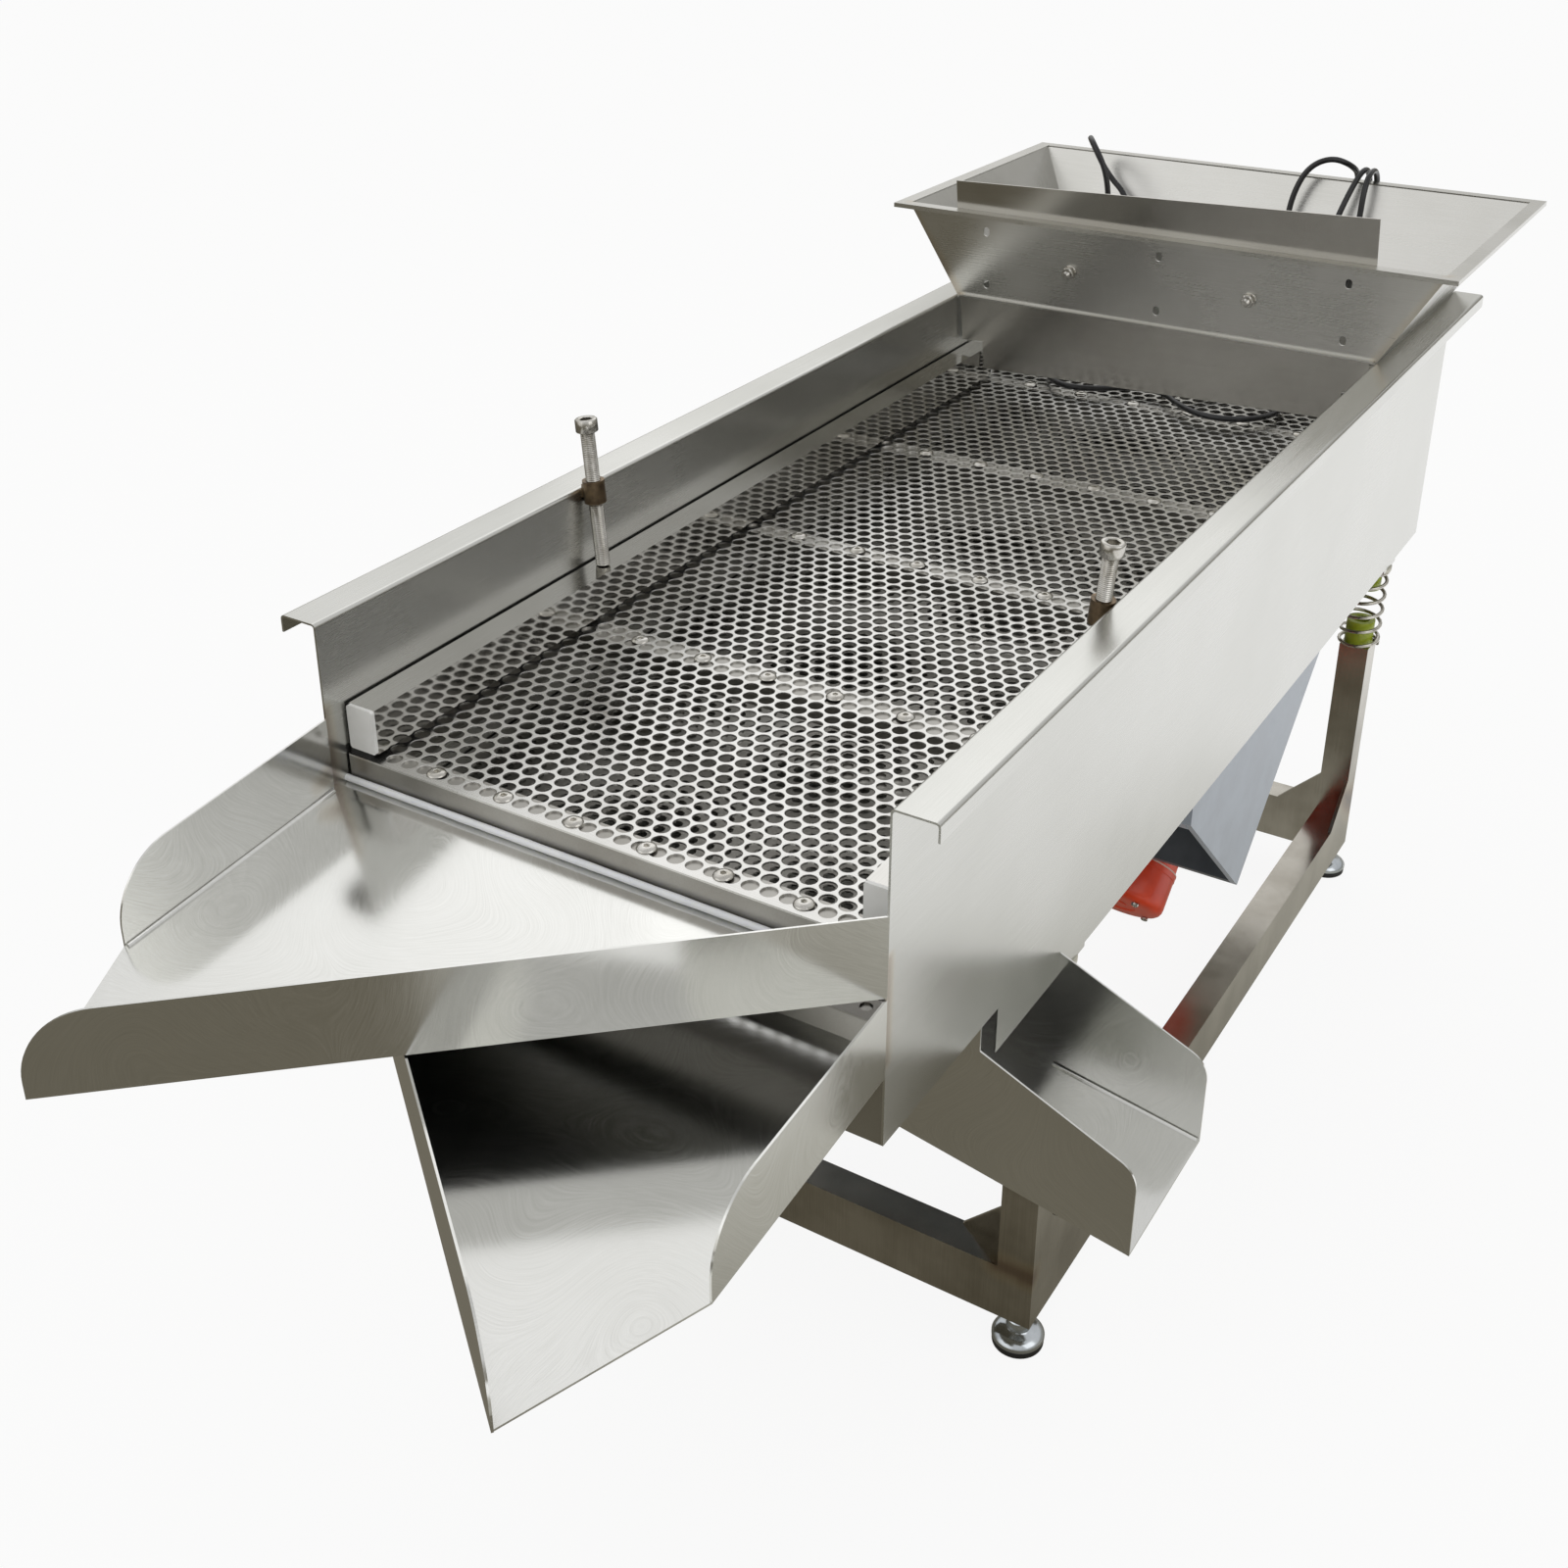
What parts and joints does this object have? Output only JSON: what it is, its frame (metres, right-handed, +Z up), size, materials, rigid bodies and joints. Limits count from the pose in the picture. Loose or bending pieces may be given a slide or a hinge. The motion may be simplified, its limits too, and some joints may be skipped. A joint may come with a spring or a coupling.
{
  "type": "vibrating sieve",
  "caption": "Two-deck linear vibrating sieve in stainless sheet, with a feed hopper, screw-clamped screens, three outlet chutes and twin vibration motors on a sprung base.",
  "frame": {"origin": "middle of the machine's bounding box, on the surface that it stands on", "axes": "+Z up, +Y from the outlet chutes towards the hopper, +X to the cross chute's side"},
  "size_m": [0.85, 2.1812, 1.1045],
  "materials": {
    "stainless": "satin brushed stainless sheet",
    "screen": "punched stainless sheet",
    "frame": "mill finish stainless tube",
    "fastener": "bright stainless fastener",
    "bracket_paint": "grey sheet steel",
    "motor_paint": "gloss orange red enamel",
    "spring": "bright zinc plated spring wire",
    "zinc": "zinc plated steel",
    "cup": "lime green polyurethane",
    "white_plastic": "moulded white plastic",
    "silicone": "white silicone bead",
    "black_rubber": "black rubber",
    "cable": "black cable sheath",
    "gland": "black nylon"
  },
  "bodies": {
    "base_frame": {"lower_spring_cups": "cup", "post_front_left": "frame", "post_front_right": "frame", "post_rear_left": "frame", "post_rear_right": "frame", "rail_front": "frame", "rail_rear": "frame", "rail_left": "frame", "rail_right": "frame", "corner_gussets": "frame"},
    "levelling_foot_front_left": {"foot_front_left": "zinc"},
    "levelling_foot_front_right": {"foot_front_right": "zinc"},
    "levelling_foot_rear_left": {"foot_rear_left": "zinc"},
    "levelling_foot_rear_right": {"foot_rear_right": "zinc"},
    "trough": {"side_plate_left": "stainless", "side_plate_right": "stainless", "rear_plate": "stainless", "front_pan": "stainless", "rear_pan": "stainless", "upper_screen_plate": "screen", "upper_screen_frame": "stainless", "upper_screen_screws": "fastener", "lower_screen_plate": "screen", "lower_screen_frame": "stainless", "deck_ledges": "stainless", "clamp_bosses": "fastener", "upper_chute": "stainless", "middle_chute": "stainless", "cross_chute": "stainless", "chute_seal": "silicone", "hopper": "stainless", "gate_bolts": "fastener", "motor_bracket_sides": "bracket_paint", "motor_mount_plate": "bracket_paint", "bracket_front_beam": "bracket_paint", "motor_left": "motor_paint", "motor_covers_left": "motor_paint", "motor_right": "motor_paint", "motor_covers_right": "motor_paint", "motor_bolts": "fastener", "cable_glands": "gland", "spring_front_left": "spring", "spring_front_right": "spring", "spring_rear_left": "spring", "spring_rear_right": "spring", "upper_spring_cups": "cup", "spring_brackets": "stainless", "cable_left": "cable", "cable_right": "cable"},
    "clamp_screw_left_body": {"clamp_screw_left": "fastener"},
    "clamp_screw_right_body": {"clamp_screw_right": "fastener"},
    "clamp_bar_left_body": {"clamp_bar_left": "stainless", "clamp_bar_plugs_left": "white_plastic", "clamp_bar_rubber_left": "black_rubber"},
    "clamp_bar_right_body": {"clamp_bar_right": "stainless", "clamp_bar_plugs_right": "white_plastic", "clamp_bar_rubber_right": "black_rubber"},
    "gate_body": {"feed_gate": "stainless"},
    "rotor_left_body": {"motor_rotor_left": "fastener"},
    "rotor_right_body": {"motor_rotor_right": "fastener"}
  },
  "joints": [
    {"name": "trough_shake", "type": "slide", "parent": "base_frame", "child": "trough", "axis": [0, -0.6691, 0.7431], "range_m": [-0.004, 0.004], "stiffness_N_per_m": 1500000, "springref_m": 0.0012, "deforming": ["spring_front_left", "spring_front_right", "spring_rear_left", "spring_rear_right"]},
    {"name": "foot_front_left_thread", "type": "slide", "parent": "base_frame", "child": "levelling_foot_front_left", "axis": [0, 0, -1], "range_m": [0, 0.02]},
    {"name": "foot_front_right_thread", "type": "slide", "parent": "base_frame", "child": "levelling_foot_front_right", "axis": [0, 0, -1], "range_m": [0, 0.02]},
    {"name": "foot_rear_left_thread", "type": "slide", "parent": "base_frame", "child": "levelling_foot_rear_left", "axis": [0, 0, -1], "range_m": [0, 0.02]},
    {"name": "foot_rear_right_thread", "type": "slide", "parent": "base_frame", "child": "levelling_foot_rear_right", "axis": [0, 0, -1], "range_m": [0, 0.02]},
    {"name": "clamp_screw_left_thread", "type": "slide", "parent": "trough", "child": "clamp_screw_left_body", "axis": [-0.0872, 0, 0.9962], "range_m": [0, 0.012]},
    {"name": "clamp_bar_left_lift", "type": "slide", "parent": "trough", "child": "clamp_bar_left_body", "axis": [-0.0872, 0, 0.9962], "range_m": [0, 0.012]},
    {"name": "clamp_screw_right_thread", "type": "slide", "parent": "trough", "child": "clamp_screw_right_body", "axis": [0.0872, 0, 0.9962], "range_m": [0, 0.012]},
    {"name": "clamp_bar_right_lift", "type": "slide", "parent": "trough", "child": "clamp_bar_right_body", "axis": [0.0872, 0, 0.9962], "range_m": [0, 0.012]},
    {"name": "gate_height", "type": "slide", "parent": "trough", "child": "gate_body", "axis": [-0.0358, -0.0963, 0.9947], "range_m": [-0.01, 0.045]},
    {"name": "rotor_left_spin", "type": "hinge", "parent": "trough", "child": "rotor_left_body", "pos_m": [-0.159, 0.43424, 0.29062], "axis": [0, 0.7431, 0.6691], "continuous": true},
    {"name": "rotor_right_spin", "type": "hinge", "parent": "trough", "child": "rotor_right_body", "pos_m": [0.091, 0.43424, 0.29062], "axis": [0, 0.7431, 0.6691], "continuous": true}
  ],
  "couplings": [
    {"joint": "clamp_bar_left_lift", "follows": "clamp_screw_left_thread", "ratio": 1},
    {"joint": "clamp_bar_right_lift", "follows": "clamp_screw_right_thread", "ratio": 1},
    {"joint": "rotor_right_spin", "follows": "rotor_left_spin", "ratio": -1}
  ]
}
